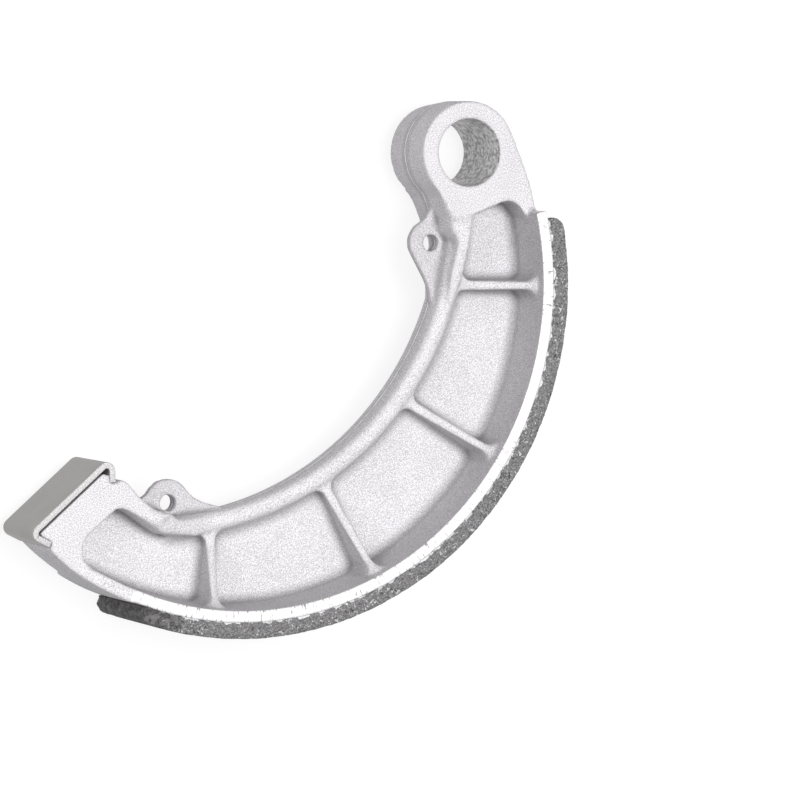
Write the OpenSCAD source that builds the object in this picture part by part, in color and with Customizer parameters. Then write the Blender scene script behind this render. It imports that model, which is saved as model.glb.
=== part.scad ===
// Brake shoe for a small internal-expanding drum brake.
//
// Three pieces: a die-cast aluminium shoe, a moulded friction lining bonded to its table, and a
// folded steel cap that takes the wear of the brake cam.
//
// The origin is the axis of the pivot pin, on the shoe's mid-plane. +X runs from the pivot to the
// drum's axis, the shoe arches over +Y, and Z runs along the drum's axis. Angles are measured
// about the drum's axis from +X, so the cam end is near 20 degrees and the pivot at 180.

/* [Drum and pivot] */
// Inside diameter of the drum that the lining rubs on
drum_d = 160; // [158:0.5:162]
// Distance from the pivot pin's axis to the drum's axis
pivot_to_axis = 64.4; // [64:0.1:64.8]

/* [Friction lining] */
// Thickness of the lining
lining_t = 3.8; // [3:0.1:4.4]
// Width of the lining and of the table under it
lining_w = 30; // [28:0.5:34]
// Angle at which the lining starts, near the cam
lining_from = 40.7; // [39.5:0.1:48]
// Angle at which the lining ends, near the pivot
lining_to = 163; // [156:0.5:163.5]
// Chamfer on the rubbing edge of each end
lining_chamfer = 1.6; // [0.4:0.1:2.4]

/* [Table and web] */
// Thickness of the table at its machined side faces
table_edge = 2.7; // [2.4:0.1:3.2]
// Draft of the table's inner wall, in degrees
table_draft = 3; // [1:0.5:4]
// Angle at which the full-width table starts, near the cam
table_from = 38.3; // [37.5:0.1:39]
// Angle at which the full-width table ends, near the pivot
table_to = 164.5; // [164:0.1:165]
// Thickness of the web
web_t = 4; // [3:0.2:5]
// Radius of the fillet where the table meets the web
foot_r = 1.2; // [0.6:0.1:1.8]

/* [Inner rim] */
// Radius of the hollow side
rim_r = 71.7; // [71:0.1:72.4]
// How far the hollow side's centre lies from the drum's axis towards the cam
rim_shift = 5.7; // [5.2:0.1:6.2]
// How far the hollow side's centre lies below the line from pivot to drum axis
rim_sink = 25.1; // [24.6:0.1:25.6]
// Thickness of the rim at half its height
rim_t = 4.3; // [3.8:0.1:4.8]
// Width of the rim, over both faces
rim_w = 11.2; // [10:0.2:13]

/* [Ribs] */
// Number of ribs on each face
rib_count = 4; // [3:1:4]
// Angle of the first rib, near the cam
rib_from = 54.8; // [54:0.2:56]
// Angle between neighbouring ribs
rib_step = 32.1; // [31:0.1:32.6]
// Thickness of a rib along its top
rib_t = 2; // [1.6:0.1:2.6]
// Draft of a rib's sides, in degrees
rib_draft = 3; // [1:0.5:5]
// Height of a rib's top above the mid-plane, next to the inner rim
rib_low = 4.6; // [4:0.1:5.2]
// Height of a rib's top above the mid-plane, where the flare to the table begins
rib_high = 9.8; // [9:0.1:11]
// Height above the mid-plane at which the flare meets the table's wall
flare_high = 13.3; // [12:0.1:14]

/* [Pivot boss] */
// Outside diameter of the boss
boss_d = 24.2; // [23.4:0.2:25]
// Width of the boss over its faces
boss_w = 20; // [18:0.5:22]
// Draft of the boss towards its back, in degrees
boss_draft = 4.5; // [2:0.5:6]
// Bore for the pivot pin
bore_d = 15.6; // [14:0.1:17]
// Chamfer at each end of the bore
bore_chamfer = 0.2; // [0.1:0.1:0.8]
// Distance from the bore's axis to the pocket behind the boss
boss_land = 14; // [13:0.1:14.6]
// Half the neck's width, on the hollow side
neck = 11.5; // [11.2:0.1:12]

/* [Cam end] */
// Width of the head over the cap
head_w = 24.8; // [24:0.2:25.6]
// Distance from the drum's axis to the middle of the cam face
head_out = 63.3; // [63:0.1:63.6]
// Angle of the middle of the cam face
head_at = 18.1; // [17.8:0.1:18.4]
// Angle between the cam face and the line from pivot to drum axis
head_tilt = 12; // [11:0.5:13]
// Width of the cam end over its faces
head_faces = 20; // [18:0.5:22]
// Distance from the cam face to the pocket behind the head
head_land = 10.1; // [9.4:0.1:11]

/* [Wear cap] */
// Thickness of the cap's steel
cap_t = 1.4; // [1:0.1:1.6]
// Gap between the cap and the casting under the cam face
cap_gap = 0.15; // [0.1:0.05:0.3]
// Outside radius of the cap's two bends
cap_bend = 2; // [1.8:0.1:2.4]
// How far the lip on the hollow side leans in, in degrees
lean_in = 38; // [34:1:42]
// How far the lip on the drum side leans in, in degrees
lean_out = 22; // [19:1:25]
// Length of the lip on the hollow side
lip_in = 2.7; // [2.3:0.1:3]
// Length of the lip on the drum side
lip_out = 3.2; // [2.8:0.1:3.4]

/* [Spring ears] */
// Radius of the ears round their holes
ear_r = 5.5; // [5:0.1:6]
// Thickness of the ears
ear_t = 4; // [3:0.2:5]
// Holes for the springs' hooks
ear_hole_d = 3.8; // [3:0.1:4.6]
// Distance from the pivot's axis to the hole near it
ear_reach = 22.06; // [21.6:0.02:22.6]
// Distance from the drum's axis to the hole near the cam
ear_out = 51.86; // [51.4:0.02:52.4]

/* [Ejector marks on the back] */
// Diameter of the ejector posts where ribs meet the table
post_d = 5.3; // [4:0.1:6]
// Diameter of the ejector discs on the boss
boss_disc_d = 3; // [2:0.2:4]
// Diameter of the ejector disc on the head
head_disc_d = 5.4; // [4:0.2:6.4]
// Height of the ejector discs
disc_h = 0.15; // [0.1:0.05:0.3]

/* [Hidden] */
$fn = 96;

past = 0.5;
sunk = 0.06;
half_w = lining_w / 2;
half_web = web_t / 2;
half_boss = boss_w / 2;
half_head = head_faces / 2;
half_rim = rim_w / 2;
half_ear = ear_t / 2;
boss_r = boss_d / 2;
drum_r = drum_d / 2;
table_r = drum_r - lining_t;
wall_r = table_r - table_edge;
drum_axis = [pivot_to_axis, 0];
rim_axis = [pivot_to_axis + rim_shift, -rim_sink];
ear_a = ear_reach * [cos(45), sin(45)];
ear_b = drum_axis + ear_out * [cos(43.1), sin(43.1)];

// Points and directions

function polar(r, a) = r * [cos(a), sin(a)];
function on_drum(r, a) = drum_axis + polar(r, a);
function on_rim(r, a) = rim_axis + polar(r, a);
function bearing(p) = atan2(p.y, p.x);
function arc(c, r, from, to, steps) = [for (i = [0:steps]) c + polar(r, from + (to - from) * i / steps)];
function both(h) = concat(h, [for (i = [len(h) - 1:-1:0]) [h[i].x, -h[i].y]]);

// The head's own frame: u along the cam face towards the drum, v from the face into the shoe
function head(u, v) = on_drum(head_out, head_at)
    + u * [cos(head_tilt), sin(head_tilt)] + v * [-sin(head_tilt), cos(head_tilt)];
function heads(list) = [for (p = list) head(p.x, p.y)];

// Everything between two sloping faces, which lie at height za over p and at zb over q
module between_slopes(p, q, za, zb) {
    run = norm(q - p);
    translate(p) rotate(bearing(q - p)) rotate([90, 0, 0]) linear_extrude(300, center = true)
        polygon(both([[-200, za], [0, za], [run, zb], [200, zb]]));
}

// Table: a band under the lining, with drafted inner walls and filleted feet

wall_foot = wall_r - (half_w - half_web - foot_r) * tan(table_draft);
table_section = both(concat(
    arc([wall_foot - foot_r, half_web - sunk + foot_r], foot_r, 270, 360, 4),
    [[wall_r, half_w], [table_r, half_w]]));

module band(from, to) {
    translate(drum_axis) rotate(from) rotate_extrude(angle = to - from) polygon(table_section);
}

// Web: one thin wall on the mid-plane, from the boss to the pocket behind the head

module web() {
    linear_extrude(web_t, center = true) {
        difference() {
            intersection() {
                translate(drum_axis) circle(wall_foot);
                polygon([[-boss_d, boss_land - 4], [20, 10], on_drum(50, 45), head(5, head_land - 3),
                    head(30, head_land - 3), [200, 200], [-200, 200]]);
            }
            translate(rim_axis) circle(rim_r + rim_t / 2);
        }
        polygon(heads([[-11, head_land - 3], [8, head_land - 3], [8, 20], [-8, 30], [-20, 27], [-13, 18]]));
    }
}

// Inner rim: a bead along the hollow side

// Its front edge is rounded less than its back edge, which is lower
front_round = 1.5;
back_round = 2.4;
back_drop = 0.9;
rim_foot = 2;
function rim_half(round, top) = concat(
    arc([rim_r + round, top - round], round, 180, 90, 5),
    arc([rim_r + rim_t - 1.6, top - 1.6], 1.6, 80, 20, 3),
    arc([rim_r + rim_t + 0.3 + rim_foot, half_web - sunk + rim_foot], rim_foot, 200, 270, 4));
rim_back = rim_half(back_round, half_rim - back_drop);
rim_section = concat(rim_half(front_round, half_rim),
    [for (i = [len(rim_back) - 1:-1:0]) [rim_back[i].x, -rim_back[i].y]]);

rim_from = 61;
rim_to = 148.5;

module inner_rim() {
    translate(rim_axis) rotate(rim_from)
        rotate_extrude(angle = rim_to - rim_from) polygon(rim_section);
}

// Ribs: one on either face at each place, climbing from the rim to a flare on the table's wall

rib_half = rib_t / 2;
rib_fillet = 0.8;
rib_foot = rib_half + (rib_high - half_web) * tan(rib_draft) / 2;
rib_tip = rib_half - (half_w - rib_high) * tan(rib_draft);
rib_side = concat(arc([rib_foot + rib_fillet, half_web - sunk + rib_fillet], rib_fillet, 270, 180, 3),
    [[rib_tip, half_w]]);
rib_across = concat(rib_side, [for (i = [len(rib_side) - 1:-1:0]) [-rib_side[i].x, rib_side[i].y]],
    [for (p = rib_side) [-p.x, -p.y]], [for (i = [len(rib_side) - 1:-1:0]) [rib_side[i].x, -rib_side[i].y]]);

// Distance from the drum's axis at which a rib at angle a reaches the middle of the inner rim
function rib_start(a) =
    let (e = drum_axis - rim_axis, b = e * polar(1, a), k = rim_r + rim_t / 2)
    sqrt(b * b - e * e + k * k) - b;

flare = 3.5;

module rib(a) {
    from = rib_start(a);
    translate(drum_axis) rotate(a) intersection() {
        rotate([90, 0, 90]) linear_extrude(table_r) polygon(rib_across);
        rotate([90, 0, 0]) linear_extrude(4 * rib_t, center = true)
            polygon(both([[from, rib_low], [from + 5, rib_low], [wall_r - flare, rib_high],
                [wall_r - flare / 2, rib_high + (flare_high - rib_high) * 0.35],
                [wall_r - flare / 6, rib_high + (flare_high - rib_high) * 0.75],
                [wall_r + past, flare_high + past]]));
    }
}

// Pivot boss, and the neck that carries it

// Left end of the pocket's edge under the boss, just inside the table's wall
land_corner = 4;
land_left = on_drum(wall_r, table_to).x + 0.93;
land_mid = (land_left + land_corner + neck - 1) / 2;

module boss() {
    cylinder(h = half_boss, r1 = boss_r, r2 = boss_r - 0.1);
    translate([0, 0, -half_boss])
        cylinder(h = half_boss, r1 = boss_r - half_boss * tan(boss_draft), r2 = boss_r);
    linear_extrude(boss_w, center = true) polygon(concat(
        [[-boss_r + 0.1, 0], [-boss_r + 1.1, 10], [-boss_r + 1.9, 15], on_drum(table_r - 0.3, table_to - 0.3),
            on_drum(wall_r - 0.4, table_to - 0.8), [land_left, boss_land + 4]],
        arc([land_left + land_corner, boss_land + 0.3 + land_corner], land_corner, 185, 265, 4),
        [[land_mid, boss_land - 0.5], [neck - 1, boss_land - 2], [neck, boss_land - 3], [neck, 8],
            [neck - 0.3, 5.8], [neck - 0.1, 4.2], [0, 0]]));
}

// The rim's end, which rises to the boss
module boss_shoulder() {
    intersection() {
        linear_extrude(boss_w, center = true) polygon(concat(
            arc(rim_axis, rim_r + rim_t - 1.1, rim_to - 1.3, 126, 5), arc(rim_axis, rim_r + 1.9, 126, 132, 2),
            arc(rim_axis, rim_r + 0.4, 138, 144, 2), [[neck + 0.7, boss_land - 0.3], [neck - 0.3, 10.5], [3.7, 10]]));
        between_slopes([3, 13], on_rim(rim_r + 2, 126), half_boss, half_rim - 0.5);
    }
}

// Cam end: the head under the cap, an arm to the table and an arm to the inner rim

bend_in = [cap_bend - head_w / 2, cap_bend];
bend_out = [head_w / 2 - cap_bend, cap_bend];
inside = cap_bend - cap_t;
core_face = cap_t + cap_gap;
slot = 0.2;

// A point on a lip: s is -1 for the lip on the hollow side and 1 for the other
function lip(c, s, lean, r, l) = c + r * [s * cos(lean), sin(lean)] + l * [-s * sin(lean), cos(lean)];

// The drum side of the cam end falls away from the drum on a smaller radius
relief_r = 55;
relief_at = 37.5;
relief_axis = on_drum(table_r + 0.4 - relief_r, relief_at);
relief_draft = 4;
function outside(list) = [for (a = list) relief_axis + polar(relief_r + 4, a)];

module relieved() {
    intersection() {
        children();
        translate(relief_axis) {
            cylinder(h = half_w, r = relief_r, $fn = 192);
            translate([0, 0, -half_w])
                cylinder(h = half_w, r1 = relief_r - half_w * tan(relief_draft), r2 = relief_r, $fn = 192);
        }
    }
}

left_flank = [[-15.9, 20.2], [-14.3, 18.5], [-13.3, 16], [-12.4, 12], [-12.4, 8.1], [-12.2, 6.8], [-11.7, 5.9]];
left_notch = [lip(bend_in, -1, lean_in, cap_bend - 0.1, lip_in + slot), lip(bend_in, -1, lean_in, inside, lip_in + slot),
    lip(bend_in, -1, lean_in, inside, 1), [-9, core_face]];
right_notch = [[bend_out.x - 0.1, core_face], lip(bend_out, 1, lean_out, inside, 0.3),
    lip(bend_out, 1, lean_out, inside, lip_out + slot), lip(bend_out, 1, lean_out, cap_bend - 0.1, lip_out + slot),
    [11.5, 6.7]];

// Edge of the pocket behind the head, from the rib round to the table
pocket_left = [[-17.7, 29.4], [-13.4, 24.8], [-11.3, 22.6], [-10.3, 19.2], [-9.3, 15.2], [-8.3, 12.2], [-7.3, 10.6]];
pocket_right = [[-6.2, head_land], [2.2, head_land - 0.1], [4.4, 10.6], [5.8, 11.9], [6.9, 13.7]];

module head_block() {
    relieved() linear_extrude(head_faces, center = true) polygon(concat(
        heads(left_flank), heads(left_notch), heads(right_notch), outside([17.5, 27, relief_at]),
        [on_drum(wall_r - 0.2, relief_at), on_drum(wall_r - 0.2, 31)],
        [for (i = [len(pocket_right) - 1:-1:0]) head(pocket_right[i].x, pocket_right[i].y)],
        [for (i = [len(pocket_left) - 1:-1:3]) head(pocket_left[i].x, pocket_left[i].y)]));
}

module table_arm() {
    intersection() {
        union() {
            band(31, table_from + 0.2);
            relieved() linear_extrude(lining_w, center = true) polygon(concat(outside([20, 30, relief_at + 1]),
                [on_drum(wall_r + 0.5, table_from), on_drum(wall_r + 0.5, 25)]));
        }
        between_slopes(on_drum(table_r, 28), on_drum(table_r, table_from), half_head - 0.3, half_w);
    }
}

module rim_arm() {
    intersection() {
        linear_extrude(head_faces, center = true) polygon(concat(
            heads(left_flank), [head(-6.5, 7)],
            [for (i = [len(pocket_left) - 1:-1:0]) head(pocket_left[i].x, pocket_left[i].y)],
            [on_drum(rib_start(rib_from) + 0.7, rib_from + 0.6), on_rim(rim_r + 0.4, 68), on_rim(rim_r + 0.3, 62.3)]));
        between_slopes(head(-13, 16), on_drum(rib_start(rib_from), rib_from), half_head, half_rim - 0.3);
    }
}

// Spring ears, on the web's plane

module ear_plan() {
    union() {
        translate(ear_a) circle(ear_r);
        polygon(concat([[neck - 3, 14], [neck - 2.5, 7.6], [neck + 0.8, 8.9], [neck + 1.8, 9.6], ear_a - [0, ear_r - 0.1], ear_a,
            ear_a + [ear_r, 0], ear_a + [ear_r - 0.1, 6.5], ear_a + [ear_r + 0.2, 9.4], ear_a + [ear_r + 1.2, 12.2]],
            arc(rim_axis, rim_r + 2.6, 128, 146, 3)));
        translate(ear_b) circle(ear_r);
        polygon(concat([head(-9.5, 17), head(-9.5, 13.5), [106.7, 31.2], ear_b - [0, ear_r - 0.1], ear_b, ear_b - [ear_r, 0],
            ear_b + [-ear_r - 0.7, 2.2], ear_b + [-ear_r - 2.2, 4.4], [91.3, 43]],
            arc(rim_axis, rim_r + 2.6, 76, 62, 3)));
    }
}

// The back half of each ear is smaller all round, as its side of the mould is
ear_inset = 0.9;

module ears() {
    linear_extrude(half_ear) ear_plan();
    translate([0, 0, -half_ear]) linear_extrude(half_ear) offset(r = -ear_inset) ear_plan();
}

module casting() {
    difference() {
        union() {
            band(table_from, table_to);
            web();
            inner_rim();
            for (i = [0:rib_count - 1]) rib(rib_from + i * rib_step);
            boss();
            boss_shoulder();
            head_block();
            table_arm();
            rim_arm();
            ears();
            ejector_marks();
        }
        cylinder(h = lining_w, d = bore_d, center = true);
        for (s = [-1, 1]) translate([0, 0, s * half_boss]) cylinder(h = 2 * bore_chamfer, center = true,
            d1 = bore_d + 2 * bore_chamfer * (1 - s), d2 = bore_d + 2 * bore_chamfer * (1 + s));
        for (p = [ear_a, ear_b]) translate(p) cylinder(h = lining_w, d = ear_hole_d, center = true);
    }
}

// Marks left by the ejector pins, on the back only

module ejector_marks() {
    for (i = [0:rib_count - 1]) translate(on_drum(wall_r - 1.9, rib_from + i * rib_step))
        translate([0, 0, 0.2 - half_w]) cylinder(h = half_w - half_web + 0.5, d = post_d);
    for (p = [[-6.8, 11.2], [5.6, 10.8]]) translate([p.x, p.y, -half_boss - disc_h])
        cylinder(h = disc_h + past, d = boss_disc_d);
    translate(head(-0.5, 5.8)) translate([0, 0, -half_head - disc_h])
        cylinder(h = disc_h + past, d = head_disc_d);
}

// Friction lining: a curved block, chamfered at both ends

module lining_end(a, s) {
    rotate(a) polygon([[drum_r - 2 * lining_chamfer, -s * lining_chamfer],
        [drum_r + lining_chamfer, 2 * s * lining_chamfer], [drum_r + lining_chamfer, -s * lining_chamfer]]);
}

module lining() {
    translate(drum_axis) linear_extrude(lining_w, center = true) difference() {
        intersection() {
            difference() {
                circle(drum_r);
                circle(table_r);
            }
            polygon([[0, 0], polar(3 * drum_r, lining_from), polar(3 * drum_r, (lining_from + lining_to) / 2),
                polar(3 * drum_r, lining_to)]);
        }
        lining_end(lining_from, 1);
        lining_end(lining_to, -1);
    }
}

// Wear cap: steel strip folded round the head, its lips closed into the notches

module wear_cap() {
    linear_extrude(head_faces, center = true) polygon(heads(concat(
        [lip(bend_in, -1, lean_in, cap_bend, lip_in)],
        arc(bend_in, cap_bend, 180 - lean_in, 270, 8),
        arc(bend_out, cap_bend, 270, 360 + lean_out, 8),
        [lip(bend_out, 1, lean_out, cap_bend, lip_out), lip(bend_out, 1, lean_out, inside, lip_out)],
        arc(bend_out, inside, 360 + lean_out, 270, 5),
        arc(bend_in, inside, 270, 180 - lean_in, 5),
        [lip(bend_in, -1, lean_in, inside, lip_in)])));
}

module shoe_casting() {
    color("gainsboro") casting();
}

module friction_lining() {
    color("dimgray") lining();
}

module cam_wear_cap() {
    color("darkgray") wear_cap();
}

shoe_casting();
friction_lining();
cam_wear_cap();
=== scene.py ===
import math
import bmesh
import bpy
from mathutils import Matrix, Vector


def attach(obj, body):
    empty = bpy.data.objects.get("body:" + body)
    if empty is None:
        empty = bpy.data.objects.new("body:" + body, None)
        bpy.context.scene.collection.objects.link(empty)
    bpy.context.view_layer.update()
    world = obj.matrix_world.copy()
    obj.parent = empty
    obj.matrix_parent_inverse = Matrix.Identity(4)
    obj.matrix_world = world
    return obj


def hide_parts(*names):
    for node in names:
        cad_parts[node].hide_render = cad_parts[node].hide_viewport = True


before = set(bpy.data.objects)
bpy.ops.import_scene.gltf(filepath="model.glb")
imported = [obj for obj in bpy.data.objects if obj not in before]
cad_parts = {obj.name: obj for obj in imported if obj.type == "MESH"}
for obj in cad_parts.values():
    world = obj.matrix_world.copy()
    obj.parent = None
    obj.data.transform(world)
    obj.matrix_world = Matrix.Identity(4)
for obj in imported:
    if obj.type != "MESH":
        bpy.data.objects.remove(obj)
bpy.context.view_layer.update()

# Shoe casting
# The body of the shoe: table, web, inner rim, ribs, pivot boss, cam end and spring ears in one piece.
# Die cast in aluminium alloy, trimmed and shot blasted, with the table's sides and the bore machined after.

# Lengths are in millimetres. The bore stands on the z axis, and the web's middle lies at z = 0.
MM = 0.001
DRUM_AXIS = (64.4, 0.0)
TABLE_RADIUS = 76.2
WALL_FOOT_RADIUS = 72.9
HALF_WIDTH = 15.0
HALF_WEB = 2.0
DRAFT = math.tan(math.radians(3.0))
BORE_AXIS = (0.0, 0.0)
BORE_RADIUS = 7.8
RIM_AXIS = (70.1, -25.1)
RIM_CREST_RADIUS = 73.85
RIM_FLANK_RADIUS = 76.2
EAR_RADIUS = 71.9
SPRING_EYES = ((15.6, 15.6), (102.27, 35.43))

RIB_ANGLES = (54.8, 86.9, 119.0, 151.1)
RIB_HALF_FOOT = 1.2
RIB_INSIDE = 0.3
# Distance from the rim's crest and height of a rib's top at its low end, and the same from the drum's axis as it climbs
RIB_LOW_END = (5.0, 4.6)
RIB_CLIMB = ((70.0, 9.8), (71.75, 11.0), (72.9, 12.4), (74.0, 13.8))

CORNER_RADIUS = 2.3
CORNER_STEPS = 10
CORNER_FLOOR = 0.4
CORNER_BELOW_TOP = 0.05
ROOT_BELOW_TOP = 0.3
ROOT_IN_WALL = 74.2
ROOT_IN_RIM = 0.4

VOXEL = 0.40
SKIN_ROUNDS = 4
FILLET_ROUNDS = 14
BLEND_ROUNDS = 50
LAST_ROUNDS = 2
EASED_ROUNDS = 60
CASTING_TRIANGLES = 190000

# Middles and sizes of the places where the rim's two ends run into the neck and into the cam end
BLENDS = (
    ((13.2, 10.6), 6.0),
    ((10.5, 13.2), 4.5),
    ((108.3, 35.2), 6.2),
    ((107.3, 41.0), 6.2),
    ((101.5, 41.0), 5.0),
    ((97.5, 42.0), 4.5),
)
NECK_X = (9.0, 12.4)
NECK_Y = (3.0, 5.5, 8.5, 13.0)
NECK_LEAN = math.tan(math.radians(4.5))


def select_only(piece):
    """Selects one object and makes it the active one."""
    bpy.ops.object.select_all(action="DESELECT")
    piece.select_set(True)
    bpy.context.view_layer.objects.active = piece


def apply_modifier(piece, kind, **settings):
    """Adds one modifier to the piece and applies it."""
    select_only(piece)
    modifier = piece.modifiers.new(kind.lower(), kind)
    for name, value in settings.items():
        setattr(modifier, name, value)
    bpy.ops.object.modifier_apply(modifier=modifier.name)


def smooth(piece, rounds, group=""):
    """Eases the whole piece, or as much of it as a vertex group says."""
    apply_modifier(piece, "SMOOTH", factor=0.5, iterations=rounds, vertex_group=group)


def thin_out(piece, triangles):
    """Brings the piece down to a number of triangles."""
    apply_modifier(piece, "DECIMATE", ratio=min(1.0, triangles / (2 * len(piece.data.polygons))))


def merged_copy(node, name):
    """A copy of a CAD node with its loose triangles joined, to be finished as a surface."""
    piece = bpy.data.objects.new(name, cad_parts[node].data.copy())
    piece.data.materials.clear()
    bpy.context.scene.collection.objects.link(piece)
    select_only(piece)
    bpy.ops.object.mode_set(mode="EDIT")
    bpy.ops.mesh.select_all(action="SELECT")
    bpy.ops.mesh.remove_doubles(threshold=1e-6)
    bpy.ops.mesh.normals_make_consistent(inside=False)
    bpy.ops.object.mode_set(mode="OBJECT")
    return piece


def in_mm(vertex):
    """A vertex's place in millimetres."""
    return tuple(value / MM for value in vertex.co)


def between(value, low, high):
    """0 at low, 1 at high, eased, and level beyond them."""
    share = min(1.0, max(0.0, (value - low) / (high - low)))
    return share * share * (3.0 - 2.0 * share)


def to_spring_eye(x, y):
    """Distance to the nearer spring eye."""
    return min(math.hypot(x - eye[0], y - eye[1]) for eye in SPRING_EYES)


def rib_top(reach, crest):
    """Height of a rib's top at a distance from the drum's axis; crest is the distance where the rim's crest lies."""
    steps = ((crest + RIB_LOW_END[0], RIB_LOW_END[1]), *RIB_CLIMB)
    for (near, low), (far, high) in zip(steps, steps[1:]):
        if reach < far:
            return low + (high - low) * max(0.0, reach - near) / (far - near)
    return steps[-1][1]


def fill_corner(mesh, turn, crest, centre, angles, root, face):
    """Adds the metal that a circle leaves free in the corner of a rib and a wall, on one face of the web.

    The circle's centre and the root, a point inside the metal, are given along and across the rib.
    """
    rings = []
    for top in (False, True):
        ring = []
        for step in range(CORNER_STEPS + 1):
            angle = angles[0] + (angles[1] - angles[0]) * step / CORNER_STEPS
            height = CORNER_FLOOR
            if top:
                height = rib_top(centre.x + CORNER_RADIUS * math.cos(angle), crest) - CORNER_BELOW_TOP
            radius = CORNER_RADIUS + (height - HALF_WEB) * DRAFT
            ring.append((centre.x + radius * math.cos(angle), centre.y + radius * math.sin(angle), height))
        ring.append((*root, rib_top(root[0], crest) - ROOT_BELOW_TOP if top else CORNER_FLOOR))
        rings.append(ring)
    made = []
    for ring in rings:
        made.append([])
        for along, across, height in ring:
            x = DRUM_AXIS[0] + along * math.cos(turn) - across * math.sin(turn)
            y = along * math.sin(turn) + across * math.cos(turn)
            made[-1].append(mesh.verts.new((x * MM, y * MM, face * height * MM)))
    low, high = made
    for place in range(len(low)):
        after = (place + 1) % len(low)
        mesh.faces.new((low[place], low[after], high[after], high[place]))
    for place in range(CORNER_STEPS):
        mesh.faces.new((low[place], low[-1], low[place + 1]))
        mesh.faces.new((high[place], high[place + 1], high[-1]))


def hollowness(vertex):
    """How far the surface around a vertex stands above it."""
    around = [edge.other_vert(vertex).co for edge in vertex.link_edges]
    centre = sum(around, Vector()) / len(around)
    return (centre - vertex.co).dot(vertex.normal)


def shared_out(hollow, vertex):
    """A vertex's hollowness, evened out with all that is hollow around it."""
    around = [max(hollow[edge.other_vert(vertex).index], 0.0) for edge in vertex.link_edges]
    return (hollow[vertex.index] + sum(around)) / (1 + len(around))


casting = merged_copy("shoe_casting", "blasted_casting")

# The ribs run into the rim and into the table's wall with round corners
surface = bmesh.new()
surface.from_mesh(casting.data)
cad_faces = len(surface.faces)
for degrees in RIB_ANGLES:
    turn = math.radians(degrees)
    to_rim = Vector((RIM_AXIS[0] - DRUM_AXIS[0], RIM_AXIS[1]))
    rim_centre = Vector((
        to_rim.x * math.cos(turn) + to_rim.y * math.sin(turn),
        to_rim.y * math.cos(turn) - to_rim.x * math.sin(turn),
    ))
    crest = rim_centre.x + math.sqrt(RIM_CREST_RADIUS ** 2 - rim_centre.y ** 2)
    for side in (-1, 1):
        across = side * (RIB_HALF_FOOT + CORNER_RADIUS)
        rib_side = -side * math.pi / 2
        by_table = Vector((math.sqrt((WALL_FOOT_RADIUS - CORNER_RADIUS) ** 2 - across ** 2), across))
        wall_side = math.atan2(by_table.y, by_table.x)
        to_flank = math.sqrt((RIM_FLANK_RADIUS + CORNER_RADIUS) ** 2 - (across - rim_centre.y) ** 2)
        by_rim = Vector((rim_centre.x + to_flank, across))
        rim_side = math.atan2(rim_centre.y - by_rim.y, rim_centre.x - by_rim.x)
        if rim_side * rib_side < 0:
            rim_side += math.copysign(2 * math.pi, rib_side)
        table_root = (ROOT_IN_WALL, RIB_INSIDE * side)
        rim_root = (crest + ROOT_IN_RIM, RIB_INSIDE * side)
        for face in (-1, 1):
            fill_corner(surface, turn, crest, by_table, (rib_side, wall_side), table_root, face)
            fill_corner(surface, turn, crest, by_rim, (rib_side, rim_side), rim_root, face)
bmesh.ops.recalc_face_normals(surface, faces=list(surface.faces)[cad_faces:])
surface.to_mesh(casting.data)
surface.free()
apply_modifier(casting, "REMESH", mode="VOXEL", voxel_size=VOXEL * MM, adaptivity=0.0)
smooth(casting, SKIN_ROUNDS)

# Inner corners of a casting are filled by the mould's fillets, so they are eased much more than its outer edges
fillets = casting.vertex_groups.new(name="fillets")
surface = bmesh.new()
surface.from_mesh(casting.data)
hollow = [hollowness(vertex) for vertex in surface.verts]
for _ in range(3):
    hollow = [shared_out(hollow, vertex) for vertex in surface.verts]
surface.free()
for vertex, depth in zip(casting.data.vertices, hollow):
    x, y, _ = in_mm(vertex)
    if depth > 0.0012 * MM and to_spring_eye(x, y) > 3.2:
        fillets.add([vertex.index], min(1.0, depth / (0.006 * MM)), "REPLACE")
smooth(casting, FILLET_ROUNDS, "fillets")

# The neck and the rim's two ends were blended by hand in the mould
blends = casting.vertex_groups.new(name="blends")
for vertex in casting.data.vertices:
    x, y, z = in_mm(vertex)
    off_web = between(abs(z), HALF_WEB + 0.4, HALF_WEB + 1.2) * between(to_spring_eye(x, y), 2.4, 3.4)
    near = max(between(math.hypot(x - middle[0], y - middle[1]), size, size * 0.4) for middle, size in BLENDS)
    if near * off_web > 0.0:
        blends.add([vertex.index], near * off_web, "REPLACE")
    # Below the web the neck leans in as the boss does
    if z < 0.0 and NECK_X[0] < x < NECK_X[1]:
        lean = between(y, NECK_Y[0], NECK_Y[1]) * between(y, NECK_Y[3], NECK_Y[2])
        vertex.co.x += z * NECK_LEAN * lean * MM
smooth(casting, BLEND_ROUNDS, "blends")
smooth(casting, LAST_ROUNDS)

# Where a much smoother copy of the surface lies above it there is a corner, and where it lies below there is an edge
eased = bpy.data.objects.new("eased", casting.data.copy())
bpy.context.scene.collection.objects.link(eased)
smooth(eased, EASED_ROUNDS)
corners = casting.vertex_groups.new(name="corners")
edges = casting.vertex_groups.new(name="edges")
for vertex, moved in zip(casting.data.vertices, eased.data.vertices):
    rise = (moved.co - vertex.co).dot(vertex.normal) / MM
    if rise > 0.02:
        corners.add([vertex.index], min(1.0, rise / 0.7), "REPLACE")
    elif rise < -0.02:
        edges.add([vertex.index], min(1.0, -rise / 0.5), "REPLACE")
bpy.data.objects.remove(eased, do_unlink=True)
thin_out(casting, CASTING_TRIANGLES)
bpy.ops.object.shade_smooth()

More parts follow.
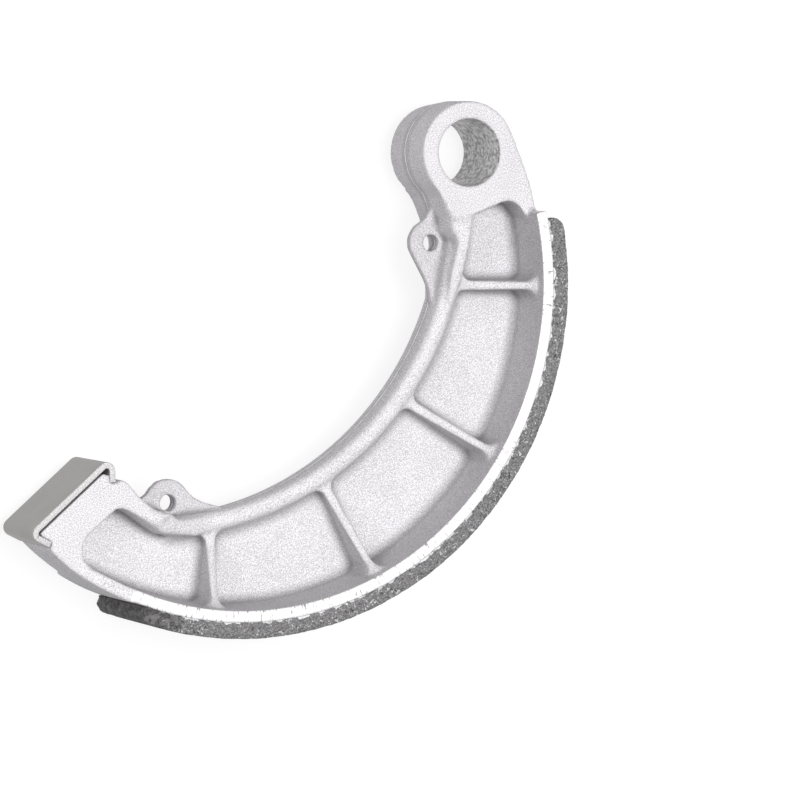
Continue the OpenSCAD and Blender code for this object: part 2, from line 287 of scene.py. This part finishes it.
# The two groups are kept as attributes, which the material reads
for name in ("corners", "edges"):
    group = casting.vertex_groups[name].index
    weights = [0.0] * len(casting.data.vertices)
    for vertex in casting.data.vertices:
        for share in vertex.groups:
            if share.group == group:
                weights[vertex.index] = share.weight
    casting.data.attributes.new("in_" + name, "FLOAT", "POINT").data.foreach_set("value", weights)
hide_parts("shoe_casting")
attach(casting, "root")

BLASTED_GREY = (0.66, 0.64, 0.655)
GRAIN_SHADE = (0.34, 0.325, 0.34)
GRAIN_LIGHT = (0.90, 0.88, 0.915)
# Painted shade for rounded edges, inner corners, pocket walls and the ears' faces
PAINTED_EDGE_SHADE = (0.54, 0.53, 0.545)
PAINTED_CORNER_SHADE = (0.13, 0.12, 0.125)
PAINTED_WALL_SHADE = (0.10, 0.095, 0.10)
PIT_SHADE = (0.13, 0.12, 0.12)
PAINTED_GAP_SHADE = (0.09, 0.08, 0.08)
PAINTED_FLASH_SHADOW = (0.16, 0.15, 0.15)
FLASH_LIGHT = (0.95, 0.94, 0.95)
CUT_ALLOY = (0.90, 0.895, 0.90)
CUT_SHADE = (0.26, 0.255, 0.26)
BORE_LIGHT = (0.78, 0.77, 0.775)
BORE_SHADE = (0.07, 0.065, 0.07)
BLAST_GRAINS = 3900.0

# Where the cutter ran out at the cam end, and how far out from the drum's axis it cut
CUT_RUNS_OUT = (38.2, 38.6)
CUT_FROM_RADIUS = 73.3
CUT_DEPTH = (HALF_WIDTH - 0.55, HALF_WIDTH - 0.40)

FLASH_WANDER = 0.7
FLASH_WIDTH = (0.38, 0.24)
FLASH_FOOT = 0.56
FLASH_FOOT_WIDTH = (0.20, 0.06)

# Middle of the cap's outer face, its tilt, and how deep and wide the cap's inside is
CAM_FACE = (124.57, 19.67)
CAM_TILT = math.radians(12.0)
CAP_INSIDE = 1.55
GAP_DEPTH = (CAP_INSIDE + 0.42, CAP_INSIDE + 0.25)
GAP_HALF_WIDTH = (10.9, 10.6)


class Shader:
    """The nodes of one material or group, each joined as it is added."""

    def __init__(self, tree):
        self.tree = tree

    def feed(self, socket, value):
        """Joins a socket to another one, or sets its value."""
        if isinstance(value, bpy.types.NodeSocket):
            self.tree.links.new(value, socket)
        else:
            socket.default_value = value

    def add(self, kind, *inputs, **settings):
        """A node with its first inputs in order, and other inputs and settings by name."""
        node = self.tree.nodes.new("ShaderNode" + kind)
        named = {name: value for name, value in settings.items() if name in node.inputs.keys()}
        for name, value in settings.items():
            if name not in named:
                setattr(node, name, value)
        for place, value in [*enumerate(inputs), *named.items()]:
            self.feed(node.inputs[place], value)
        return node

    def sums(self, operation, *values):
        return self.add("Math", *values, operation=operation).outputs[0]

    def times(self, first, *others):
        for value in others:
            first = self.sums("MULTIPLY", first, value)
        return first

    def ramp(self, value, low, high, first=0.0, last=1.0):
        """A value read off a straight slope from first at low to last at high, and level beyond."""
        return self.add("MapRange", value, low, high, first, last, clamp=True).outputs[0]

    def noise(self, where, per_metre, detail, roughness=0.5, distortion=0.0):
        node = self.add("TexNoise", where, Scale=per_metre, Detail=detail, Roughness=roughness, Distortion=distortion)
        return node.outputs["Fac"]

    def mix(self, factor, first, second):
        """A colour between two colours, which are sockets or three numbers."""
        node = self.add("Mix", data_type="RGBA")
        self.feed(node.inputs[0], factor)
        for place, colour in ((6, first), (7, second)):
            self.feed(node.inputs[place], colour if isinstance(colour, bpy.types.NodeSocket) else (*colour, 1.0))
        return node.outputs[2]

    def polar(self, where, axis):
        """Angle and distance of each point about an upright axis."""
        shifted = self.add("VectorMath", where, (-axis[0] * MM, -axis[1] * MM, 0.0), operation="ADD").outputs[0]
        x, y, _ = self.add("SeparateXYZ", shifted).outputs
        reach = self.sums("SQRT", self.sums("ADD", self.sums("POWER", x, 2.0), self.sums("POWER", y, 2.0)))
        return self.sums("ARCTAN2", y, x), reach

    def use(self, group, *inputs):
        """What a group gives for its inputs in order."""
        return self.add("Group", *inputs, node_tree=group.tree).outputs


def new_group(name, inputs, outputs):
    """An empty node group: its shader, the sockets it is given and the sockets it fills."""
    tree = bpy.data.node_groups.new(name, "ShaderNodeTree")
    for label, value in inputs:
        kind = "NodeSocketVector" if value is None else "NodeSocketFloat"
        socket = tree.interface.new_socket(label, in_out="INPUT", socket_type=kind)
        if value is not None:
            socket.default_value = value
    for label in outputs:
        tree.interface.new_socket(label, in_out="OUTPUT", socket_type="NodeSocketFloat")
    return Shader(tree), tree.nodes.new("NodeGroupInput").outputs, tree.nodes.new("NodeGroupOutput").inputs


def new_material(name, coarse):
    """A material, its shader and the inputs of its surface; coarse is its colour in a plain view."""
    material = bpy.data.materials.new(name)
    material.use_nodes = True
    material.diffuse_color = (*coarse, 1.0)
    material.node_tree.nodes.clear()
    shader = Shader(material.node_tree)
    surface = shader.add("BsdfPrincipled")
    shader.add("OutputMaterial", surface.outputs[0])
    return material, shader, surface.inputs


# Grain left by blasting or moulding: fine speckle, slow mottle and a few small pits
grain, given, filled = new_group(
    "grain",
    (("Vector", None), ("Grains per metre", 2600.0), ("Pits", 0.5)),
    ("Speckle", "Mottle", "Pit", "Height"),
)
where, per_metre, pitted = given[0], given[1], given[2]
speckle = grain.ramp(grain.noise(where, per_metre, 2.0, 0.6), 0.36, 0.64)
mottle = grain.noise(where, 85.0, 3.0, 0.55)
spots = grain.add("TexVoronoi", where, Scale=grain.times(per_metre, 0.16), Randomness=1.0).outputs["Distance"]
patches = grain.noise(where, 130.0, 1.0)
pits_from = grain.sums("SUBTRACT", 1.08, grain.times(pitted, 0.9))
pit = grain.times(grain.ramp(spots, 0.05, 0.13, 1.0, 0.0), grain.ramp(patches, pits_from, 0.9))
height = grain.sums("SUBTRACT", speckle, grain.times(pit, 2.5))
for socket, value in zip(filled, (speckle, mottle, pit, height)):
    grain.feed(socket, value)

# Marks of a cutter: fine lines that run across the way the cutter went
cut_marks, given, filled = new_group(
    "cut_marks",
    (("Along", 0.0), ("Across", 0.0), ("Lines per metre", 900.0), ("Breaks per metre", 60.0)),
    ("Line", "Height"),
)
along = cut_marks.times(given[0], given[2])
across = cut_marks.times(given[1], given[3])
ridges = cut_marks.noise(cut_marks.add("CombineXYZ", along, across, 0.0).outputs[0], 1.0, 4.0, 0.65)
cut_marks.feed(filled[0], cut_marks.ramp(ridges, 0.54, 0.64))
cut_marks.feed(filled[1], ridges)

blasted_alloy, s, skin = new_material("blasted_alloy", BLASTED_GREY)
where = s.add("TexCoord").outputs["Object"]
height_off_web = s.add("SeparateXYZ", where).outputs[2]
depth = s.sums("ABSOLUTE", height_off_web)
facing = s.sums("ABSOLUTE", s.add("SeparateXYZ", s.add("NewGeometry").outputs["Normal"]).outputs[2])
speck, mottle, pits, blast_height = s.use(grain, where, BLAST_GRAINS, 0.62)
turn, reach = s.polar(where, DRUM_AXIS)
rim_reach = s.polar(where, RIM_AXIS)[1]

# The table's sides, cut to the shoe's width up to where the cutter ran out, but not the ejector posts beside them
arc = s.times(turn, TABLE_RADIUS * MM)
cut_end = s.sums("ADD", arc, s.times(s.noise(where, 420.0, 3.0, 0.6), 1.2 * MM))
side = s.times(
    s.ramp(depth, CUT_DEPTH[0] * MM, CUT_DEPTH[1] * MM),
    s.ramp(facing, 0.35, 0.55),
    s.ramp(cut_end, *(math.radians(angle) * TABLE_RADIUS * MM for angle in CUT_RUNS_OUT)),
    s.ramp(reach, CUT_FROM_RADIUS * MM, (CUT_FROM_RADIUS + 0.15) * MM),
)
mark, mark_height = s.use(cut_marks, arc, reach, 1500.0, 330.0)

# The bore, reamed to size
bore_turn, bore_reach = s.polar(where, BORE_AXIS)
bore = s.times(s.ramp(bore_reach, (BORE_RADIUS + 0.25) * MM, (BORE_RADIUS + 0.18) * MM), s.ramp(facing, 0.6, 0.5))
bore_arc = s.times(bore_turn, BORE_RADIUS * MM)
spiral = s.sums("ADD", height_off_web, s.times(bore_arc, 0.22))
ream, ream_height = s.use(cut_marks, spiral, bore_arc, 1300.0, 420.0)
bore_grain = s.ramp(s.noise(where, 1000.0, 3.0, 0.65), 0.42, 0.60)

# The thin flash line where the mould's halves met, broken where it was rubbed off
wander = s.times(s.sums("SUBTRACT", s.noise(where, 160.0, 2.0), 0.5), FLASH_WANDER * MM)
from_flash = s.sums("ABSOLUTE", s.sums("ADD", height_off_web, wander))
flank = s.times(s.ramp(facing, 0.35, 0.2), s.sums("SUBTRACT", 1.0, bore))
flash = s.times(
    s.ramp(from_flash, FLASH_WIDTH[0] * MM, FLASH_WIDTH[1] * MM),
    flank,
    s.ramp(s.noise(where, 330.0, 2.0), 0.38, 0.5, 0.35, 1.0),
)
# Painted shadow: a dark line along the foot of the flash line
from_foot = s.sums("ABSOLUTE", s.sums("SUBTRACT", from_flash, FLASH_FOOT * MM))
flash_shadow_line = s.times(s.ramp(from_foot, FLASH_FOOT_WIDTH[0] * MM, FLASH_FOOT_WIDTH[1] * MM), flank)

# Painted shade: the corners, the pocket walls and the ears' recessed faces are coloured darker, and the rounded edges a
# little darker, where less light reaches them
in_edges = s.add("Attribute", attribute_name="in_edges").outputs["Fac"]
in_corners = s.add("Attribute", attribute_name="in_corners").outputs["Fac"]
pocket_wall = s.times(
    s.ramp(rim_reach, (RIM_FLANK_RADIUS - 1.2) * MM, (RIM_FLANK_RADIUS - 0.2) * MM),
    s.ramp(reach, (WALL_FOOT_RADIUS + 1.6) * MM, (WALL_FOOT_RADIUS + 1.1) * MM),
    s.ramp(facing, 0.75, 0.2),
)
ear = s.times(
    s.ramp(rim_reach, EAR_RADIUS * MM, (EAR_RADIUS - 0.5) * MM),
    s.ramp(depth, (HALF_WEB + 0.4) * MM, (HALF_WEB + 0.2) * MM),
)
colour = s.mix(s.sums("ADD", s.times(speck, 0.85), s.times(mottle, 0.25)), GRAIN_SHADE, GRAIN_LIGHT)
# Painted shade where rounded edges turn away from the light
colour = s.mix(s.ramp(in_edges, 0.25, 0.9, 0.0, 0.55), colour, PAINTED_EDGE_SHADE)
# Painted shade in the inner corners and along the pockets' feet
colour = s.mix(s.ramp(in_corners, 0.05, 0.65, 0.0, 0.90), colour, PAINTED_CORNER_SHADE)
# Painted shade on the pocket walls and on the ears' recessed faces
colour = s.mix(s.times(pocket_wall, 0.34), colour, PAINTED_WALL_SHADE)
colour = s.mix(s.times(ear, 0.20), colour, PAINTED_WALL_SHADE)
colour = s.mix(s.times(pits, 0.85), colour, PIT_SHADE)

# Painted shade: a dark line in the gap where the cap's steel ends on the casting
from_cam = s.add("VectorMath", where, (-CAM_FACE[0] * MM, -CAM_FACE[1] * MM, 0.0), operation="ADD").outputs[0]
into_shoe, along_cap = (
    s.add("VectorMath", from_cam, direction, operation="DOT_PRODUCT").outputs["Value"]
    for direction in (
        (-math.sin(CAM_TILT), math.cos(CAM_TILT), 0.0),
        (math.cos(CAM_TILT), math.sin(CAM_TILT), 0.0),
    )
)
gap = s.times(
    s.ramp(into_shoe, GAP_DEPTH[0] * MM, GAP_DEPTH[1] * MM),
    s.ramp(s.sums("ABSOLUTE", along_cap), GAP_HALF_WIDTH[0] * MM, GAP_HALF_WIDTH[1] * MM),
)
colour = s.mix(s.times(gap, 0.9), colour, PAINTED_GAP_SHADE)
# Painted shadow beside the flash line
colour = s.mix(s.times(flash_shadow_line, 0.45), colour, PAINTED_FLASH_SHADOW)
colour = s.mix(s.times(flash, 0.9), colour, FLASH_LIGHT)

# The cutter left marks all over the cam end's half of the cut, and in patches on the other
marked = s.sums(
    "MAXIMUM",
    s.ramp(s.noise(where, 45.0, 1.0), 0.42, 0.6, 0.25, 1.0),
    s.ramp(turn, math.radians(110.0), math.radians(80.0)),
)
colour = s.mix(side, colour, s.mix(s.times(mark, marked), CUT_ALLOY, CUT_SHADE))
reamed = s.sums("ADD", s.times(ream, 0.35), s.times(bore_grain, 0.65))
colour = s.mix(bore, colour, s.mix(reamed, BORE_LIGHT, BORE_SHADE))
cut = s.sums("MAXIMUM", side, bore)
s.feed(skin["Base Color"], colour)
s.feed(skin["Roughness"], s.ramp(cut, 0.0, 1.0, 0.62, 0.38))
s.feed(skin["Metallic"], s.ramp(cut, 0.0, 1.0, 0.12, 0.30))

cut_height = s.add("Mix", data_type="FLOAT")
for place, value in ((0, bore), (2, mark_height), (3, ream_height)):
    s.feed(cut_height.inputs[place], value)
cut_height = s.times(cut_height.outputs[0], cut)
blast_bump = s.add("Bump", 0.35, 0.06 * MM, Height=blast_height)
flash_bump = s.add("Bump", 0.7, 0.15 * MM, Height=flash, Normal=blast_bump.outputs[0])
cut_bump = s.add("Bump", 0.7, 0.04 * MM, Height=cut_height, Normal=flash_bump.outputs[0])
s.feed(skin["Normal"], cut_bump.outputs[0])
casting.data.materials.append(blasted_alloy)

# Friction lining
# The block that rubs on the drum, bonded to the table's back.
# Moulded friction compound with chips of metal and fibre in it, sawn to width and ground on its face.

LINING_FACE_RADIUS = 80.0
LINING_ROUNDS = 2
LINING_TRIANGLES = 180000
# Angles from which the two ends are torn, to where they are fully so
TORN_HEAD_END = (46.0, 42.0)
TORN_BOSS_END = (160.5, 162.5)
CHIP_REACH = 1.6
# Size, depth and middle of the coarse and the fine chipping
CHIPPING = ((2.6, 0.55, 0.75), (0.9, 0.30, 0.6))

COMPOUND = (0.105, 0.105, 0.11)
MOULDED_SHADE = (0.022, 0.020, 0.020)
MOULDED_LIGHT = (0.19, 0.185, 0.185)
GROUND_SHADE = (0.055, 0.053, 0.053)
GROUND_LIGHT = (0.155, 0.15, 0.15)
SAWN_SHADE = (0.045, 0.043, 0.045)
SAWN_LIGHT = (0.33, 0.325, 0.33)
CHIP_BRIGHT = (0.72, 0.72, 0.73)
HOLE_SHADE = (0.02, 0.02, 0.02)
DRAGGED_ALLOY = (0.80, 0.80, 0.81)
COMPOUND_GRAINS = 2600.0
SIDE_DEPTH = (HALF_WIDTH - 1.4, HALF_WIDTH - 1.1)
SAWN_FROM = (46.0, 48.5)
DRAGGED_FROM = (43.0, 46.0)

lining = merged_copy("friction_lining", "sawn_lining")
apply_modifier(lining, "REMESH", mode="VOXEL", voxel_size=VOXEL * MM, adaptivity=0.0)
smooth(lining, LINING_ROUNDS)
chip_edges = lining.vertex_groups.new(name="edges")
for vertex in lining.data.vertices:
    x, y, z = in_mm(vertex)
    radius = math.hypot(x - DRUM_AXIS[0], y)
    if radius > TABLE_RADIUS + 0.5:
        to_edge = (HALF_WIDTH - abs(z)) + (LINING_FACE_RADIUS - radius)
        near = max(0.0, 1.0 - to_edge / CHIP_REACH)
        degrees = math.degrees(math.atan2(y, x - DRUM_AXIS[0]))
        torn_end = max(between(degrees, *TORN_HEAD_END), between(degrees, *TORN_BOSS_END))
        chip_edges.add([vertex.index], min(1.0, 0.14 + 0.41 * near + 0.75 * torn_end), "REPLACE")
for size, strength, middle in CHIPPING:
    texture = bpy.data.textures.new("compound_%s" % size, "CLOUDS")
    texture.noise_scale = size * MM
    texture.noise_depth = 2
    apply_modifier(
        lining, "DISPLACE", texture=texture, texture_coords="LOCAL", vertex_group="edges",
        strength=strength * MM, mid_level=middle,
    )
thin_out(lining, LINING_TRIANGLES)
bpy.ops.object.shade_smooth()
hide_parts("friction_lining")
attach(lining, "root")

friction_compound, f, block = new_material("friction_compound", COMPOUND)
where = f.add("TexCoord").outputs["Object"]
speck, _, _, compound_height = f.use(grain, where, COMPOUND_GRAINS, 1.0)
turn, reach = f.polar(where, DRUM_AXIS)
depth = f.sums("ABSOLUTE", f.add("SeparateXYZ", where).outputs[2])
on_side = f.ramp(depth, SIDE_DEPTH[0] * MM, SIDE_DEPTH[1] * MM)
grit = f.noise(where, 1700.0, 4.0, 0.7)
chunks = f.noise(where, 620.0, 2.0)
shreds = f.noise(where, 1150.0, 2.0, distortion=1.5)
elsewhere = f.add("VectorMath", where, (0.013, 0.007, 0.003), operation="ADD").outputs[0]
torn = f.noise(elsewhere, 900.0, 3.0, distortion=0.8)

# As moulded at the head end, ground on the drum's face and sawn on the sides
lumps = f.times(f.ramp(chunks, 0.42, 0.58), 0.5)
moulded = f.mix(f.sums("ADD", f.times(f.ramp(grit, 0.38, 0.62), 0.5), lumps), MOULDED_SHADE, MOULDED_LIGHT)
fine_grit = f.sums("ADD", f.times(f.ramp(grit, 0.36, 0.64), 0.45), f.times(speck, 0.55))
on_face = f.ramp(reach, (LINING_FACE_RADIUS - 0.7) * MM, (LINING_FACE_RADIUS - 0.4) * MM)
colour = f.mix(on_face, moulded, f.mix(fine_grit, GROUND_SHADE, GROUND_LIGHT))
moulded_end = f.sums("ADD", turn, f.times(f.sums("SUBTRACT", torn, 0.5), 0.42))
sawn = f.times(on_side, f.ramp(moulded_end, *(math.radians(angle) for angle in SAWN_FROM)))
colour = f.mix(sawn, colour, f.mix(fine_grit, SAWN_SHADE, SAWN_LIGHT))

# Chips that the saw laid bare, and holes where others fell out
bright = f.times(f.ramp(shreds, 0.62, 0.67), f.ramp(sawn, 0.0, 1.0, 0.12, 0.85))
hole = f.ramp(torn, 0.37, 0.32)
colour = f.mix(bright, colour, CHIP_BRIGHT)
colour = f.mix(f.times(hole, 0.8), colour, HOLE_SHADE)

# Bright alloy dragged over the joint by the cutter
dragged_to = f.sums("ADD", (TABLE_RADIUS - 1.2) * MM, f.times(f.noise(where, 480.0, 5.0, 0.65), 2.6 * MM))
dragged = f.times(
    f.sums("LESS_THAN", reach, dragged_to),
    on_side,
    f.ramp(turn, *(math.radians(angle) for angle in DRAGGED_FROM)),
)
colour = f.mix(dragged, colour, DRAGGED_ALLOY)
f.feed(block["Base Color"], colour)
f.feed(block["Roughness"], 0.78)
f.feed(block["Specular IOR Level"], 0.4)
f.feed(block["Metallic"], f.ramp(bright, 0.0, 1.0, 0.0, 0.4))
rough_bump = f.add("Bump", 0.7, 0.12 * MM, Height=f.sums("SUBTRACT", compound_height, f.times(hole, 2.0)))
f.feed(block["Normal"], rough_bump.outputs[0])
lining.data.materials.append(friction_compound)

# Cam wear cap
# The plate that the brake's cam pushes on, over the end of the shoe.
# Pressed from steel strip, with its two edges bent down into notches in the casting.

CAP_EDGE = 0.22
CAP_END = (9.6, 9.85)
CAP_STEEL = (0.40, 0.39, 0.385)
STEEL_SHADE = (0.30, 0.29, 0.285)
STEEL_LIGHT = (0.42, 0.41, 0.40)
ROLLED_LIGHT = (0.55, 0.54, 0.53)
END_SHADE = (0.40, 0.385, 0.39)
END_LIGHT = (0.66, 0.645, 0.65)
STEEL_PIT = (0.16, 0.14, 0.13)
STEEL_GRAINS = 3600.0

cap = merged_copy("cam_wear_cap", "pressed_cap")
apply_modifier(
    cap, "BEVEL", width=CAP_EDGE * MM, segments=3, limit_method="ANGLE", angle_limit=math.radians(40),
)
bpy.ops.object.shade_smooth_by_angle(angle=math.radians(35))
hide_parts("cam_wear_cap")
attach(cap, "root")

pressed_steel, p, plate = new_material("pressed_steel", CAP_STEEL)
where = p.add("TexCoord").outputs["Object"]
x, _, z = p.add("SeparateXYZ", where).outputs
speck, mottle, pits, steel_height = p.use(grain, where, STEEL_GRAINS, 0.45)
rolled, _ = p.use(cut_marks, z, x, 2200.0, 60.0)
end = p.ramp(p.sums("ABSOLUTE", z), CAP_END[0] * MM, CAP_END[1] * MM)
colour = p.mix(p.sums("ADD", p.times(speck, 0.3), p.times(mottle, 0.6)), STEEL_SHADE, STEEL_LIGHT)
colour = p.mix(p.times(rolled, 0.2), colour, ROLLED_LIGHT)
colour = p.mix(end, colour, p.mix(speck, END_SHADE, END_LIGHT))
colour = p.mix(p.times(pits, 0.7), colour, STEEL_PIT)
p.feed(plate["Base Color"], colour)
p.feed(plate["Roughness"], p.ramp(end, 0.0, 1.0, 0.55, 0.65))
p.feed(plate["Metallic"], p.ramp(end, 0.0, 1.0, 0.5, 0.25))
p.feed(plate["Normal"], p.add("Bump", 0.25, 0.03 * MM, Height=steel_height).outputs[0])
cap.data.materials.append(pressed_steel)

# Stage
# A plain white floor under the shoe's side, one broad lamp overhead and two fills.
# The camera looks down on the shoe from the photograph's angle.

FLOOR_SIZE = 6.0
FLOOR_MIDDLE = (0.06, 0.03, -HALF_WIDTH * MM)
WHITE = (1.0, 1.0, 1.0, 1.0)
LIT_PAPER = (0.30, 0.30, 0.30, 1.0)
SHADED_PAPER = (0.17, 0.17, 0.17, 1.0)
PAPER_GLOW = 0.86
ROOM_LIGHT = 0.14
# Place in metres, size in metres and power in watts
LAMP_TARGET = (0.06, 0.04, 0.0)
LAMPS = (
    ("overhead_softbox", (0.01, -0.02, 0.95), 0.60, 8.6),
    ("left_fill", (0.70, -0.58, 0.45), 0.5, 3.8),
    ("far_fill", (-0.45, 0.60, 0.50), 0.6, 0.8),
)
# Solved from the photograph's perspective: the camera's place, and where its right, up and back point
CAMERA_PLACE = (0.3812535, -0.2057456, 0.9007926)
CAMERA_RIGHT = (-0.79554834, 0.43430298, 0.42247339)
CAMERA_UP = (-0.49923725, -0.86496827, -0.05091225)
CAMERA_BACK = (0.34331474, -0.25141761, 0.9049443)
CAMERA_LENS = 190.77
CAMERA_SENSOR = 36.0


def seen(shader):
    """1 where a surface is seen, straight or through or in another one, and 0 where light only bounces off it."""
    path = shader.add("LightPath").outputs
    straight = shader.sums("MAXIMUM", path["Is Camera Ray"], path["Is Glossy Ray"])
    return shader.sums("MAXIMUM", straight, path["Is Transmission Ray"])


bpy.ops.object.select_all(action="DESELECT")
bpy.ops.mesh.primitive_plane_add(size=FLOOR_SIZE, location=FLOOR_MIDDLE)
floor = bpy.context.object
floor.name = "floor"
bpy.ops.object.transform_apply(location=True, rotation=True, scale=True)
white_paper = bpy.data.materials.new("white_paper")
white_paper.use_nodes = True
white_paper.node_tree.nodes.clear()
t = Shader(white_paper.node_tree)
lit = t.add("BsdfDiffuse", LIT_PAPER)
shaded = t.add("BsdfDiffuse", SHADED_PAPER)
glow = t.add("Emission", WHITE, PAPER_GLOW)
glowing = t.add("AddShader", shaded.outputs[0], glow.outputs[0])
t.add("OutputMaterial", t.add("MixShader", seen(t), lit.outputs[0], glowing.outputs[0]).outputs[0])
floor.data.materials.append(white_paper)

studio = bpy.data.worlds.new("studio")
bpy.context.scene.world = studio
studio.use_nodes = True
studio.node_tree.nodes.clear()
w = Shader(studio.node_tree)
room = w.add("Background", WHITE, ROOM_LIGHT)
backdrop = w.add("Background", WHITE, 1.0)
w.add("OutputWorld", w.add("MixShader", seen(w), room.outputs[0], backdrop.outputs[0]).outputs[0])

for name, location, size, power in LAMPS:
    lamp_data = bpy.data.lights.new(name, "AREA")
    lamp_data.shape = "SQUARE"
    lamp_data.size = size
    lamp_data.energy = power
    lamp = bpy.data.objects.new(name, lamp_data)
    lamp.location = location
    lamp.rotation_euler = (Vector(LAMP_TARGET) - Vector(location)).to_track_quat("-Z", "Y").to_euler()
    bpy.context.scene.collection.objects.link(lamp)

camera_data = bpy.data.cameras.new("camera")
camera_data.sensor_width = CAMERA_SENSOR
camera_data.lens = CAMERA_LENS
camera_data.clip_start = 0.05
camera_data.clip_end = 20.0
camera = bpy.data.objects.new("camera", camera_data)
turned = Matrix((CAMERA_RIGHT, CAMERA_UP, CAMERA_BACK)).transposed().to_4x4()
camera.matrix_world = Matrix.Translation(CAMERA_PLACE) @ turned
bpy.context.scene.collection.objects.link(camera)
bpy.context.scene.camera = camera
bpy.context.scene.view_settings.view_transform = "Standard"
